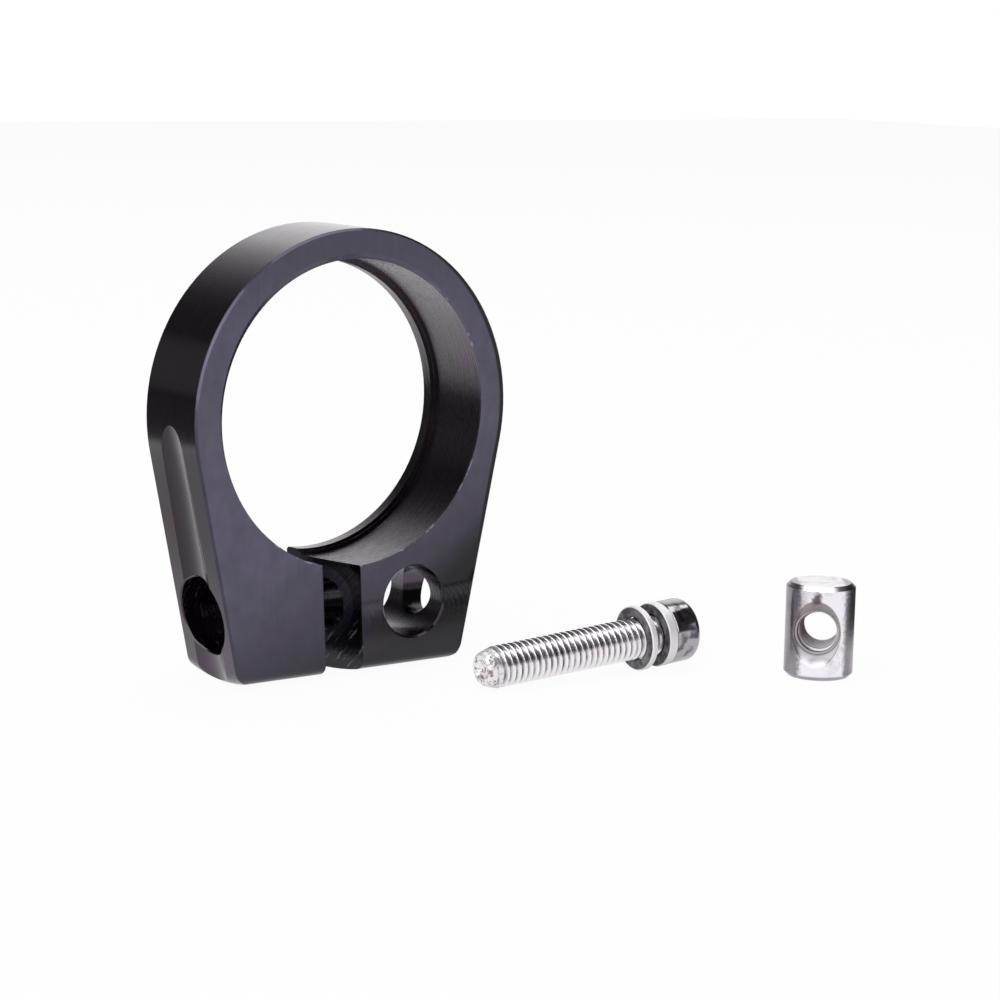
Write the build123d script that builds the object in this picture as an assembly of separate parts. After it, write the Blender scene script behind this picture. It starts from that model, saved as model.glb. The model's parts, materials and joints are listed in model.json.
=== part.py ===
from build123d import *
import os
from math import atan2, cos, degrees, isclose, radians, sin, tan

# Bicycle seatpost clamp, taken apart: a split collar standing on its ears,
# its socket head screw with two washers, and its barrel nut.
# Millimetres. The origin is the centre of the post bore, +Y runs along the bore
# from the open face to the lipped face, and +Z points up, away from the ears.

# Collar: ring, bore and ears
BORE_DIAMETER = 34.9        # seat tube that the collar clamps
RING_WALL = 3.4             # ring thickness outside the bore
COLLAR_WIDTH = 10.9         # along the bore
FLANK_ANGLE = 11.7          # each flank leans in from upright, degrees
BASE_DEPTH = 30.17          # from the bore axis down to the middle of the base
BASE_CROWN_RADIUS = 24.0    # the base is arched along the bore
BASE_CORNER = 1.9           # round between flank and base
BASE_EDGE_ROUND = 1.3       # round between the base and both faces
EDGE_CHAMFER = 0.25         # outer edges of both faces

# Bore mouth and the stepped lip that sits on the end of the seat tube
MOUTH_BREAK = 0.12          # radial, at the sides of the mouth
MOUTH_RISE = 0.5            # the mouth's bevel is cut off centre: wider at the top,
MOUTH_SHIFT = -0.12         # and a little wider on the screw head's side
MOUTH_BEVEL_ANGLE = 31.0    # from the open face, degrees
LIP_DEPTH = 2.1             # from the rear face to the first shoulder
LIP_LEDGE = 0.45            # along the bore, between the two shoulders
LIP_STEP = 0.32             # height of each shoulder
REAR_CHAMFER = 0.25

# Slot between the ears, sawn on a skew
SLOT_WIDTH = 4.9
SLOT_OFFSET = -1.3          # slot centre on the front face, across from the bore axis
SLOT_OFFSET_DEPTH = 25.0    # depth below the bore axis where that offset is taken
SLOT_LEAN = 3.0             # seen from the front, degrees
SLOT_SKEW = 15.0            # seen from above, degrees
SLOT_CORNER_HEAD_SIDE = 1.6
SLOT_CORNER_NUT_SIDE = 0.6

# Scallops down the flanks
SCALLOP_RADIUS = 8.3
HEAD_SCALLOP_TOP = 0.35     # depth at the top of the flank on the screw head's side
HEAD_SCALLOP_BASE = 0.6     # depth there at the base
NUT_SCALLOP_TOP = 0.35      # depth at the top of the flank on the nut's side
NUT_SCALLOP_BASE = 2.2      # depth there at the base

# Screw line and barrel nut seat
SCREW_HEIGHT = 7.82         # screw axis above the middle of the base
SCREW_HOLE_CLEARANCE = 0.4  # radial, round the thread
SCREW_HOLE_DROP = 0.35      # the clearance hole is drilled a little below the screw line
HEAD_CLEARANCE = 0.75       # radial, round the screw head
SEAT_DISTANCE = 10.0        # counterbore floor to the bore's middle plane
COUNTERBORE_BREAK = 0.15    # chamfer round the counterbore's rim
NUT_SEAT_OFFSET = 8.4       # nut axis to the bore's middle plane
NUT_CLEARANCE = 0.15        # radial, round the nut
NUT_SEAT_CHAMFER = 0.2

# M5 socket head cap screw
THREAD_DIAMETER = 4.8       # over the rolled crests
SCREW_LENGTH = 25.0         # under the head
HEAD_DIAMETER = 7.4
HEAD_HEIGHT = 3.5
HEAD_ROUND = 0.8            # rounded edge at the socket end
HEAD_UNDER_BREAK = 0.15
SOCKET_WIDTH = 4.0          # across the flats
SOCKET_DEPTH = 2.1
SOCKET_POINT_ANGLE = 120.0  # drill point at the socket's floor
TIP_CHAMFER = 0.5
TIP_CUP_DIAMETER = 2.6
TIP_CUP_DEPTH = 0.35

# Washers loose on the thread
WASHER_CLEARANCE = 0.2      # radial, round the thread
WASHER_DIAMETER = 7.55
WASHER_THICKNESS = 0.8
WASHER_SLACK = 1.73         # the flat washer lies this far in front of the lock washer
LOCK_WASHER_DIAMETER = 7.5
LOCK_WASHER_THICKNESS = 1.2
LOCK_SLIT = 0.5
LOCK_SLIT_SKEW = 25.0       # the slit leans from the axis, degrees

# Barrel nut
NUT_DIAMETER = 8.0
NUT_LENGTH = 11.0
NUT_CHAMFER = 0.5
NUT_THREAD_BORE = 4.2       # core of the tapped hole
NUT_COUNTERSINK = 7.75      # across, at the nut's front line
NUT_REAR_BREAK = 0.3

# Where the loose pieces lie on the surface that the collar stands on
SCREW_TIP_X = 8.2
SCREW_TIP_Y = -19.0
SCREW_BEARING = -2.75       # from +X, seen from above, degrees
WASHER_TURN = 200.0         # where the lock washer's slit faces, round the screw
NUT_X = 46.6
NUT_Y = -32.9
NUT_HOLE_BEARING = 221.0    # the countersunk mouth faces this way, degrees from +X

# Worked out from the sizes above
bore_radius = BORE_DIAMETER / 2
ring_radius = bore_radius + RING_WALL
half_width = COLLAR_WIDTH / 2
flank = radians(FLANK_ANGLE)
floor_z = -BASE_DEPTH
screw_z = floor_z + SCREW_HEIGHT
thread_radius = THREAD_DIAMETER / 2
nut_radius = NUT_DIAMETER / 2
nut_seat_radius = nut_radius + NUT_CLEARANCE
counterbore_radius = HEAD_DIAMETER / 2 + HEAD_CLEARANCE
lock_start = SCREW_LENGTH - LOCK_WASHER_THICKNESS
washer_start = lock_start - WASHER_SLACK - WASHER_THICKNESS
cut_past = COLLAR_WIDTH / 2  # how far a cut runs past the surface that it leaves
from_end = (Align.CENTER, Align.CENTER, Align.MIN)


def cone_cut(radius, depth, plane):
    """A 45 degree chamfer of a round mouth: widest at the plane, narrowing along its axis."""
    mouth = Cone(radius + depth, radius, depth, align=from_end)
    return plane * mouth


def bore_cut():
    """Turned inside of the ring: bore and two shoulders of the lip."""
    first_shoulder = half_width - LIP_DEPTH
    second_shoulder = first_shoulder + LIP_LEDGE
    ledge_radius = bore_radius - LIP_STEP
    lip_radius = ledge_radius - LIP_STEP
    with BuildPart() as cut:
        with BuildSketch(Plane.XY):
            with BuildLine():
                Polyline(
                    (0, -half_width),
                    (bore_radius, -half_width),
                    (bore_radius, first_shoulder),
                    (ledge_radius, first_shoulder),
                    (ledge_radius, second_shoulder),
                    (lip_radius, second_shoulder),
                    (lip_radius, half_width - REAR_CHAMFER),
                    (lip_radius + REAR_CHAMFER, half_width),
                    (0, half_width),
                    close=True,
                )
            make_face()
        revolve(axis=Axis.Y)
    return cut.part


def mouth_bevel():
    """Bevel of the bore's mouth: its centre lies above the bore's, so it thins out below."""
    mouth = bore_radius + MOUTH_BREAK
    depth = (MOUTH_BREAK + MOUTH_RISE) * tan(radians(MOUTH_BEVEL_ANGLE))
    bevel = Cone(mouth, mouth - MOUTH_BREAK - MOUTH_RISE, depth, align=from_end)
    return Plane(origin=(MOUTH_SHIFT, -half_width, MOUTH_RISE), z_dir=(0, 1, 0)) * bevel


def slot_cut():
    """Saw cut from the base up into the bore, leaning and skewed, with rounded lower corners."""
    lean = tan(radians(SLOT_LEAN))
    half = SLOT_WIDTH / 2 / cos(radians(SLOT_LEAN)) / cos(radians(SLOT_SKEW))
    top_z = -bore_radius / 2
    base_x = SLOT_OFFSET + (BASE_DEPTH - SLOT_OFFSET_DEPTH) * lean
    top_x = SLOT_OFFSET - (SLOT_OFFSET_DEPTH + top_z) * lean
    head_corner = (base_x - half, floor_z)
    nut_corner = (base_x + half, floor_z)
    head_run = base_x - half - 2 * SLOT_CORNER_HEAD_SIDE
    nut_run = base_x + half + 2 * SLOT_CORNER_NUT_SIDE
    with BuildSketch(Plane.XZ.offset(half_width)) as profile:
        with BuildLine():
            Polyline(
                (top_x - half, top_z),
                head_corner,
                (head_run, floor_z),
                (head_run, floor_z - cut_past),
                (nut_run, floor_z - cut_past),
                (nut_run, floor_z),
                nut_corner,
                (top_x + half, top_z),
                close=True,
            )
        make_face()
        for corner, radius in ((head_corner, SLOT_CORNER_HEAD_SIDE), (nut_corner, SLOT_CORNER_NUT_SIDE)):
            fillet(profile.vertices().sort_by_distance((corner[0], -half_width, corner[1]))[0], radius)
    skew = radians(SLOT_SKEW)
    reach = COLLAR_WIDTH + cut_past
    return extrude(profile.sketch, amount=reach, dir=(-sin(skew), cos(skew), 0), both=True)


def scallop_cut(side, top_depth, base_depth):
    """Shallow round hollow down one flank, deeper at the base: side is -1 or 1 along X."""
    tangent = Vector(side * ring_radius * cos(flank), 0, -ring_radius * sin(flank))
    outward = Vector(side * cos(flank), 0, -sin(flank))
    down = Vector(-side * sin(flank), 0, -cos(flank))
    run = (BASE_DEPTH - ring_radius * sin(flank)) / cos(flank)
    dip = atan2(base_depth - top_depth, run)
    centre = tangent + outward * (SCALLOP_RADIUS - top_depth)
    along = down * cos(dip) - outward * sin(dip)
    start = centre - along * ring_radius
    length = ring_radius + run + cut_past
    tool = Cylinder(SCALLOP_RADIUS, length, align=from_end)
    return Plane(origin=start, x_dir=(0, 1, 0), z_dir=along) * tool


def base_edge_cut(side):
    """What rounding one edge of the arched base takes away: side is -1 or 1 along Y."""
    face_y = side * half_width
    round_y = side * (half_width - BASE_EDGE_ROUND)
    arch_z = floor_z + BASE_CROWN_RADIUS
    inner = BASE_CROWN_RADIUS - BASE_EDGE_ROUND
    round_z = arch_z - (inner ** 2 - round_y ** 2) ** 0.5
    centre = Vector(round_y, round_z)
    to_arch = (centre - Vector(0, arch_z)).normalized()
    to_face = Vector(side, 0)
    on_arch = centre + to_arch * BASE_EDGE_ROUND
    middle = centre + (to_arch + to_face).normalized() * BASE_EDGE_ROUND
    outside = face_y + side * cut_past
    under = floor_z - cut_past
    with BuildSketch(Plane.YZ) as section:
        with BuildLine():
            ThreePointArc((face_y, round_z), (middle.X, middle.Y), (on_arch.X, on_arch.Y))
            Polyline(
                (on_arch.X, on_arch.Y), (on_arch.X, under), (outside, under), (outside, round_z),
                (face_y, round_z),
            )
        make_face()
    return extrude(section.sketch, amount=ring_radius, both=True)


def counterbore_rim(collar):
    """Edges where the screw head's counterbore opens on the flank."""
    walls = [
        face for face in collar.faces().filter_by(GeomType.CYLINDER)
        if face.radius and isclose(face.radius, counterbore_radius)
    ]
    edges = ShapeList(edge for wall in walls for edge in wall.edges())
    return edges.filter_by(lambda edge: edge.center().X < -SEAT_DISTANCE - COUNTERBORE_BREAK)


def make_collar():
    """Split ring with two ears, in one piece."""
    tangent_x = ring_radius * cos(flank)
    tangent_z = -ring_radius * sin(flank)
    below = BASE_DEPTH + EDGE_CHAMFER
    half_below = (ring_radius - below * sin(flank)) / cos(flank)
    base_edge_z = floor_z + BASE_CROWN_RADIUS - (BASE_CROWN_RADIUS ** 2 - half_width ** 2) ** 0.5
    with BuildPart() as body:
        with BuildSketch(Plane.XZ):
            Circle(ring_radius)
            with BuildLine():
                Polyline(
                    (tangent_x, tangent_z),
                    (half_below, -below),
                    (-half_below, -below),
                    (-tangent_x, tangent_z),
                    close=True,
                )
            make_face()
        extrude(amount=half_width, both=True)
        with BuildSketch(Plane.YZ):
            with BuildLine():
                ThreePointArc((-half_width, base_edge_z), (0, floor_z), (half_width, base_edge_z))
                Polyline(
                    (half_width, base_edge_z),
                    (half_width, -below - cut_past),
                    (-half_width, -below - cut_past),
                    (-half_width, base_edge_z),
                )
            make_face()
        extrude(amount=ring_radius, both=True, mode=Mode.SUBTRACT)
        base = body.faces().sort_by(Axis.Z)[0]
        corners = base.edges().sort_by(Axis.Y)[1:-1]
        fillet(corners, BASE_CORNER)
        faces = body.faces().filter_by(Axis.Y)
        chamfer(faces.edges(), EDGE_CHAMFER)
    collar = body.part - bore_cut() - mouth_bevel()
    for side in (-1, 1):
        collar = collar - base_edge_cut(side)
    collar = collar - slot_cut()
    collar = collar - scallop_cut(-1, HEAD_SCALLOP_TOP, HEAD_SCALLOP_BASE)
    collar = collar - scallop_cut(1, NUT_SCALLOP_TOP, NUT_SCALLOP_BASE)

    screw_line = Plane(origin=(0, 0, screw_z), x_dir=(0, 1, 0), z_dir=(-1, 0, 0))
    reach = ring_radius + cut_past
    counterbore = Cylinder(counterbore_radius, reach - SEAT_DISTANCE, align=from_end)
    counterbore = Pos(0, 0, SEAT_DISTANCE) * counterbore
    hole = Cylinder(thread_radius + SCREW_HOLE_CLEARANCE, 2 * reach)
    collar = collar - screw_line * counterbore
    collar = chamfer(counterbore_rim(collar), COUNTERBORE_BREAK)
    collar = collar - Pos(0, 0, -SCREW_HOLE_DROP) * screw_line * hole

    front = Plane(origin=(NUT_SEAT_OFFSET, -half_width, screw_z), x_dir=(1, 0, 0), z_dir=(0, 1, 0))
    rear = Plane(origin=(NUT_SEAT_OFFSET, half_width, screw_z), x_dir=(1, 0, 0), z_dir=(0, -1, 0))
    nut_seat = front * Cylinder(nut_seat_radius, COLLAR_WIDTH, align=from_end)
    collar = collar - nut_seat
    for face in (front, rear):
        collar = collar - cone_cut(nut_seat_radius, NUT_SEAT_CHAMFER, face)
    return collar


def screw_plane():
    """Frame of the lying screw: origin at its tip, +Z along it towards the head.

    It rests on the thread at its tip and on the rim of the flat washer.
    """
    bearing = radians(SCREW_BEARING)
    rise = atan2(WASHER_DIAMETER / 2 - thread_radius, washer_start - TIP_CHAMFER)
    along = Vector(cos(rise) * cos(bearing), cos(rise) * sin(bearing), sin(rise))
    tip_z = floor_z + thread_radius * cos(rise) - TIP_CHAMFER * sin(rise)
    side = Vector(-sin(bearing), cos(bearing), 0)
    return Plane(origin=(SCREW_TIP_X, SCREW_TIP_Y, tip_z), x_dir=side, z_dir=along)


def make_screw():
    """Socket head cap screw, its thread a plain cylinder over the crests."""
    head_radius = HEAD_DIAMETER / 2
    top = SCREW_LENGTH + HEAD_HEIGHT
    with BuildPart() as screw:
        with BuildSketch(Plane.XZ):
            with BuildLine():
                Polyline(
                    (0, TIP_CUP_DEPTH),
                    (TIP_CUP_DIAMETER / 2, 0),
                    (thread_radius - TIP_CHAMFER, 0),
                    (thread_radius, TIP_CHAMFER),
                    (thread_radius, SCREW_LENGTH),
                    (head_radius - HEAD_UNDER_BREAK, SCREW_LENGTH),
                    (head_radius, SCREW_LENGTH + HEAD_UNDER_BREAK),
                    (head_radius, top - HEAD_ROUND),
                )
                RadiusArc((head_radius, top - HEAD_ROUND), (head_radius - HEAD_ROUND, top), -HEAD_ROUND)
                Polyline((head_radius - HEAD_ROUND, top), (0, top), (0, TIP_CUP_DEPTH))
            make_face()
        revolve(axis=Axis.Z)
        with BuildSketch(Plane.XY.offset(top)):
            RegularPolygon(SOCKET_WIDTH / 2, 6, major_radius=False)
        extrude(amount=-SOCKET_DEPTH, mode=Mode.SUBTRACT)
    point = SOCKET_WIDTH / 2 / tan(radians(SOCKET_POINT_ANGLE / 2))
    drill = Cone(SOCKET_WIDTH / 2, 0, point, align=from_end)
    drill_point = Plane(origin=(0, 0, top - SOCKET_DEPTH), z_dir=(0, 0, -1)) * drill
    return screw.part - drill_point


def make_flat_washer():
    """Plain stamped washer, loose on the thread."""
    disc = Cylinder(WASHER_DIAMETER / 2, WASHER_THICKNESS, align=from_end)
    hole = Cylinder(thread_radius + WASHER_CLEARANCE, WASHER_THICKNESS, align=from_end)
    return Pos(0, 0, washer_start) * (disc - hole)


def make_lock_washer():
    """Split spring washer under the head."""
    disc = Cylinder(LOCK_WASHER_DIAMETER / 2, LOCK_WASHER_THICKNESS, align=from_end)
    hole = Cylinder(thread_radius + WASHER_CLEARANCE, LOCK_WASHER_THICKNESS, align=from_end)
    slit = Box(LOCK_WASHER_DIAMETER, LOCK_SLIT, LOCK_WASHER_THICKNESS + LOCK_WASHER_DIAMETER)
    slit = Pos(LOCK_WASHER_DIAMETER / 2, 0, LOCK_WASHER_THICKNESS / 2) * Rot(LOCK_SLIT_SKEW, 0, 0) * slit
    ring = disc - hole - slit
    return Pos(0, 0, lock_start) * Rot(0, 0, WASHER_TURN) * ring


def make_barrel_nut():
    """Turned barrel with a tapped cross hole, countersunk where the screw enters."""
    barrel = Cylinder(nut_radius, NUT_LENGTH)
    barrel = chamfer(barrel.edges().filter_by(GeomType.CIRCLE), NUT_CHAMFER)
    mouth_radius = NUT_COUNTERSINK / 2
    core_radius = NUT_THREAD_BORE / 2
    cross = Plane(origin=(nut_radius, 0, 0), x_dir=(0, 1, 0), z_dir=(-1, 0, 0))
    rear = Plane(origin=(-nut_radius, 0, 0), x_dir=(0, 1, 0), z_dir=(1, 0, 0))
    hole = cross * Cylinder(core_radius, NUT_DIAMETER, align=from_end)
    nut = barrel - hole
    nut = nut - cone_cut(core_radius, mouth_radius - core_radius, cross)
    nut = nut - cone_cut(core_radius, NUT_REAR_BREAK + core_radius ** 2 / NUT_DIAMETER, rear)
    stand = Pos(NUT_X, NUT_Y, floor_z + NUT_LENGTH / 2) * Rot(0, 0, NUT_HOLE_BEARING)
    return stand * nut


lying = screw_plane()
pieces = {
    "collar": make_collar(),
    "screw": lying * make_screw(),
    "lock_washer": lying * make_lock_washer(),
    "flat_washer": lying * make_flat_washer(),
    "barrel_nut": make_barrel_nut(),
}

os.makedirs("parts", exist_ok=True)
for name, piece in pieces.items():
    export_step(piece, "parts/" + name + ".step")
    box = piece.bounding_box()
    print(name, round(piece.volume, 1), "mm3, z from", round(box.min.Z, 2), "to", round(box.max.Z, 2))
axis = lying.z_dir
print("screw axis", round(axis.X, 5), round(axis.Y, 5), round(axis.Z, 5))
print("screw tip", [round(value, 3) for value in lying.origin])
print("screw rise", round(degrees(atan2(axis.Z, (axis.X ** 2 + axis.Y ** 2) ** 0.5)), 3), "degrees")
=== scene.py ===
"""A seatpost clamp taken apart: its collar, its cap screw with two washers, and its barrel nut.

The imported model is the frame. The screw, the washers and the nut are modelled here with their
threads and edges, and the collar keeps its own solid and gets its anodised finish.
"""

import json
from functools import partial
from math import atan2, cos, pi, radians, sin

import bpy
from mathutils import Matrix, Vector


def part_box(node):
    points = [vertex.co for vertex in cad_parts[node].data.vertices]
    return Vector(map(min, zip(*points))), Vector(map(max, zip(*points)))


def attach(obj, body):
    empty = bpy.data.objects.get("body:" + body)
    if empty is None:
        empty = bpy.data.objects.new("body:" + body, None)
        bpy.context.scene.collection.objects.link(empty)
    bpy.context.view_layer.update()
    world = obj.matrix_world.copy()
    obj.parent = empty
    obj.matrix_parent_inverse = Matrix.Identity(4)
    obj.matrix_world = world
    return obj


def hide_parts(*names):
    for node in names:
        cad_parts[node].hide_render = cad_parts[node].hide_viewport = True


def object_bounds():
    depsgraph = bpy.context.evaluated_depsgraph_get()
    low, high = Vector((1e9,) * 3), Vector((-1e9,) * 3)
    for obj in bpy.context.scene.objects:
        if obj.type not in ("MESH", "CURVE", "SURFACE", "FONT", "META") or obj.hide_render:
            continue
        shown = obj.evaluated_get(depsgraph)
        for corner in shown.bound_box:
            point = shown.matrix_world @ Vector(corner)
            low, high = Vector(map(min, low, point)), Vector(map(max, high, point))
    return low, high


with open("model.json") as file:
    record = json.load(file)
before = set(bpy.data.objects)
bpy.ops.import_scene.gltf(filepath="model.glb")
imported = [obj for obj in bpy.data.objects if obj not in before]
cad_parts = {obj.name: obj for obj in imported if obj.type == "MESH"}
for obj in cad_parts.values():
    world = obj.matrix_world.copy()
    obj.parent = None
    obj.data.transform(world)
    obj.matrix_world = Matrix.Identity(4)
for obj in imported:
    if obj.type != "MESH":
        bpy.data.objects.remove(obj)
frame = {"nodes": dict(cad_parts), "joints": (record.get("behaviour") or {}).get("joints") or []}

bl_info = {
    "name": "Seatpost clamp, taken apart",
    "version": (1, 0, 0),
    "blender": (4, 5, 0),
    "location": "View3D > Sidebar > Clamp",
    "description": "Dresses the packed collar and models its screw, washers and barrel nut",
    "category": "Object",
}

MM = 0.001
cad_box = [list(corner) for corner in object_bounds()]
FLOOR_Z = cad_box[0][2]
WHITE = (1.0, 1.0, 1.0, 1.0)

# The screw lies along the axis that its washers turn on, with its tip at TIP. LYING takes a piece
# modelled along Z, tip down at the origin, to its place.
SCREW_AXIS = Vector(frame["joints"][0]["axis"]).normalized()
ON_AXIS = Vector(frame["joints"][0]["pos_m"])
TIP = ON_AXIS + SCREW_AXIS * min(
    (corner.co - ON_AXIS).dot(SCREW_AXIS) for corner in frame["nodes"]["screw"].data.vertices
)
LYING = Matrix.Translation(TIP) @ SCREW_AXIS.to_track_quat("Z", "X").to_matrix().to_4x4()


def length(name, description, millimetres):
    """A size that the user may change."""
    return bpy.props.FloatProperty(
        name=name, description=description, default=millimetres * MM, unit="LENGTH", precision=5
    )


def colour(name, description, hex_value):
    """A colour that the user may change, from its sRGB hex value."""
    return bpy.props.FloatVectorProperty(
        name=name, description=description, default=linear(hex_value), subtype="COLOR", size=4
    )


def linear(hex_value):
    """sRGB hex to linear RGBA."""
    channels = [int(hex_value[i:i + 2], 16) / 255 for i in (1, 3, 5)]
    return [c / 12.92 if c <= 0.04045 else ((c + 0.055) / 1.055) ** 2.4 for c in channels] + [1.0]


class ScrewSizes(bpy.types.PropertyGroup):
    thread_diameter: length("Thread diameter", "Over the rolled crests", 4.8)
    pitch: length("Pitch", "From one crest to the next", 0.8)
    thread_depth: length("Thread depth", "From crest to root", 0.46)
    shank: length("Length", "Under the head", 25.0)
    run_out: length("Run-out", "Plain shank between the last thread and the head", 0.8)
    tip_diameter: length("Tip", "Across the end of the tapered tip", 3.3)
    tip_taper: length("Tip taper", "Length of the tapered tip", 1.7)
    tip_cup: length("Tip cup", "Radius of the hollow left in the tip", 1.25)
    tip_cup_depth: length("Tip cup depth", "Depth of the hollow in the tip", 0.6)
    head_diameter: length("Head diameter", "Across the round head", 7.4)
    head_height: length("Head height", "Along the screw", 3.5)
    head_round: length("Head round", "Rounded edge at the socket end", 0.8)
    socket_width: length("Socket width", "Across the flats of the hexagon", 4.0)
    socket_depth: length("Socket depth", "To the floor of the hexagon", 2.1)


class WasherSizes(bpy.types.PropertyGroup):
    edge_break: length("Edge break", "Rounded edges of both washers", 0.12)
    bore_clearance: length("Clearance", "Between the thread and the washers", 0.1)
    slit: length("Slit", "Gap between the ends of the lock washer", 0.5)
    slit_skew: bpy.props.FloatProperty(
        name="Slit skew", description="How far the slit leans from the screw's axis",
        default=radians(25), subtype="ANGLE",
    )
    slit_place: bpy.props.FloatProperty(
        name="Slit place", description="Where the slit is, round the screw from its far side",
        default=radians(200), subtype="ANGLE",
    )


class NutSizes(bpy.types.PropertyGroup):
    diameter: length("Diameter", "Of the barrel", 7.997)
    height: length("Height", "Along the barrel", 11.0)
    end_chamfer: length("End chamfer", "Cone at both ends", 0.5)
    core: length("Thread core", "Across the crests of the tapped thread", 4.14)
    thread_depth: length("Thread depth", "From crest to root", 0.4)
    lead: length("Lead-in", "Across the wide end of the tap's lead-in", 5.2)
    lead_depth: length("Lead-in depth", "Length of the lead-in, where the crests are cut away", 2.0)
    rear_sink: length("Rear countersink", "Depth of the small cone at the far mouth", 0.75)
    countersink: length("Countersink", "Across its mouth at the barrel's front line", 7.75)
    hole_turn: bpy.props.FloatProperty(
        name="Hole direction", description="Where the countersunk mouth faces, seen from above",
        default=radians(221), subtype="ANGLE",
    )


class Finishes(bpy.types.PropertyGroup):
    face_layer: colour("Faces", "Black anodising with a cool sheen on both faces", "#5d586e")
    # Painted shade on the faces toward their foot and top, on the slot's wall and in the screw hole; also
    # the darker clouds on the faces.
    shade_and_dark_tone: colour("Foot", "The darker anodising low on the faces", "#262327")
    # Also painted shade across the nut's ear, beside the darker broken edge on the nut's side.
    edge_black_and_shade: colour("Dye", "Deepest black, on the edge and the ear of the nut's side", "#0c0b0d")
    side_layer: colour("Sides", "Black anodising on the bore, the ring and the flanks", "#4a3d4b")
    # Also painted glints: ridges in the slot and the counterbore painted paler.
    bare_metal_and_glints: colour("Worn edge", "Bare metal through rubbed anodising", "#8f8993")
    nickel: colour("Nickel plate", "Bright plating of the thread", "#faf6fa")
    head: colour("Head", "Darker mirror of the screw's head", "#aaa7ae")
    zinc: colour("Zinc plate", "Milky rims of the washers", "#f2f0f4")
    film: colour("Film", "Grey film on faces and in hollows", "#8a838d")
    # Also painted shade on both sides of the barrel nut.
    grease_and_shade: colour("Grease", "Violet brown stain in grooves", "#4b3f48")
    rust: colour("Rust", "Brown stain on the tip and in the nut", "#6e564c")
    nut_steel: colour("Turned steel", "Bare turned steel of the nut", "#f8f4fc")


class StudioSizes(bpy.types.PropertyGroup):
    camera_place: bpy.props.FloatVectorProperty(
        name="Camera", description="Where the camera stands",
        default=(-177.12 * MM, -269.30 * MM, 43.74 * MM), subtype="TRANSLATION", unit="LENGTH",
    )
    camera_bearing: bpy.props.FloatProperty(
        name="Bearing", description="Turned right from straight at the open face",
        default=radians(36.83), subtype="ANGLE",
    )
    camera_dip: bpy.props.FloatProperty(
        name="Dip", description="Below level", default=radians(9.515), subtype="ANGLE"
    )
    camera_roll: bpy.props.FloatProperty(
        name="Roll", description="Anticlockwise", default=radians(1.235), subtype="ANGLE"
    )
    lens: bpy.props.FloatProperty(
        name="Lens", description="Focal length on a 36 mm sensor", default=102.51, unit="CAMERA"
    )
    floor_size: length("Floor", "Width of the pale floor", 3000.0)
    paper: colour("Paper", "White paper of the floor", "#f4f4f6")


def deselect():
    """Leave nothing selected, in object mode."""
    if bpy.context.object and bpy.context.object.mode != "OBJECT":
        bpy.ops.object.mode_set(mode="OBJECT")
    bpy.ops.object.select_all(action="DESELECT")


def draw_chain(name, points):
    """A line of edges from point to point, extruded from one vertex."""
    deselect()
    bpy.ops.mesh.primitive_plane_add(size=MM, location=(0, 0, 0))
    piece = bpy.context.object
    piece.name = name
    bpy.ops.object.mode_set(mode="EDIT")
    bpy.ops.mesh.select_all(action="SELECT")
    bpy.ops.mesh.merge(type="CENTER")
    bpy.ops.transform.translate(value=points[0])
    for here, there in zip(points, points[1:]):
        step = Vector(there) - Vector(here)
        bpy.ops.mesh.extrude_region_move(TRANSFORM_OT_translate={"value": step})
    return piece


def close_surface(merge_distance=1e-7):
    """Weld the seams of the piece in edit mode and turn its faces outward."""
    bpy.ops.mesh.select_all(action="SELECT")
    bpy.ops.mesh.remove_doubles(threshold=merge_distance)
    bpy.ops.mesh.normals_make_consistent(inside=False)
    bpy.ops.object.mode_set(mode="OBJECT")


def turn_outline(name, outline, steps=128, angle=2 * pi):
    """A turned piece round Z: the outline is a list of (radius, height)."""
    piece = draw_chain(name, [(radius, 0, height) for radius, height in outline])
    bpy.ops.mesh.select_all(action="SELECT")
    bpy.ops.mesh.spin(steps=steps, angle=angle, center=(0, 0, 0), axis=(0, 0, 1))
    close_surface()
    return piece


def arc(centre, radius, start, end, steps=6):
    """Points of a round corner in an outline."""
    turns = [radians(start + (end - start) * i / steps) for i in range(steps + 1)]
    return [(centre[0] + radius * cos(t), centre[1] + radius * sin(t)) for t in turns]


def thread_solid(name, crest, depth, pitch, low, high):
    """A round bar with a right-hand thread, cut square at both ends."""
    # One tooth, from root to root: fractions of the pitch and of the depth, with rolled corners.
    tooth = (
        (0.0, 0.0), (0.07, 0.0), (0.13, 0.08), (0.32, 0.82), (0.38, 0.96), (0.5, 1.0),
        (0.62, 0.96), (0.68, 0.82), (0.87, 0.08), (0.93, 0.0), (1.0, 0.0),
    )
    root = crest - depth
    first = low - 2 * pitch
    points = [(root + depth * rise, 0, first + pitch * along) for along, rise in tooth]
    piece = draw_chain(name, points)
    bpy.ops.object.mode_set(mode="OBJECT")
    winding = piece.modifiers.new("Winding", "SCREW")
    winding.screw_offset = pitch
    winding.iterations = round((high - low) / pitch) + 4
    winding.steps = winding.render_steps = 72
    winding.use_merge_vertices = True
    winding.merge_threshold = 1e-7
    bpy.ops.object.modifier_apply(modifier="Winding")
    bpy.ops.object.mode_set(mode="EDIT")
    for height, keep_above in ((low, True), (high, False)):
        bpy.ops.mesh.select_all(action="SELECT")
        bpy.ops.mesh.bisect(
            plane_co=(0, 0, height), plane_no=(0, 0, 1), use_fill=True,
            clear_inner=keep_above, clear_outer=not keep_above, threshold=1e-8,
        )
    close_surface()
    return piece


def combine(piece, other, operation):
    """Union, difference or intersection of two closed pieces; the second is used up."""
    joint = piece.modifiers.new(operation.title(), "BOOLEAN")
    joint.operation = operation
    joint.solver = "EXACT"
    joint.object = other
    deselect()
    piece.select_set(True)
    bpy.context.view_layer.objects.active = piece
    bpy.ops.object.modifier_apply(modifier=joint.name)
    bpy.data.objects.remove(other)


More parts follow.
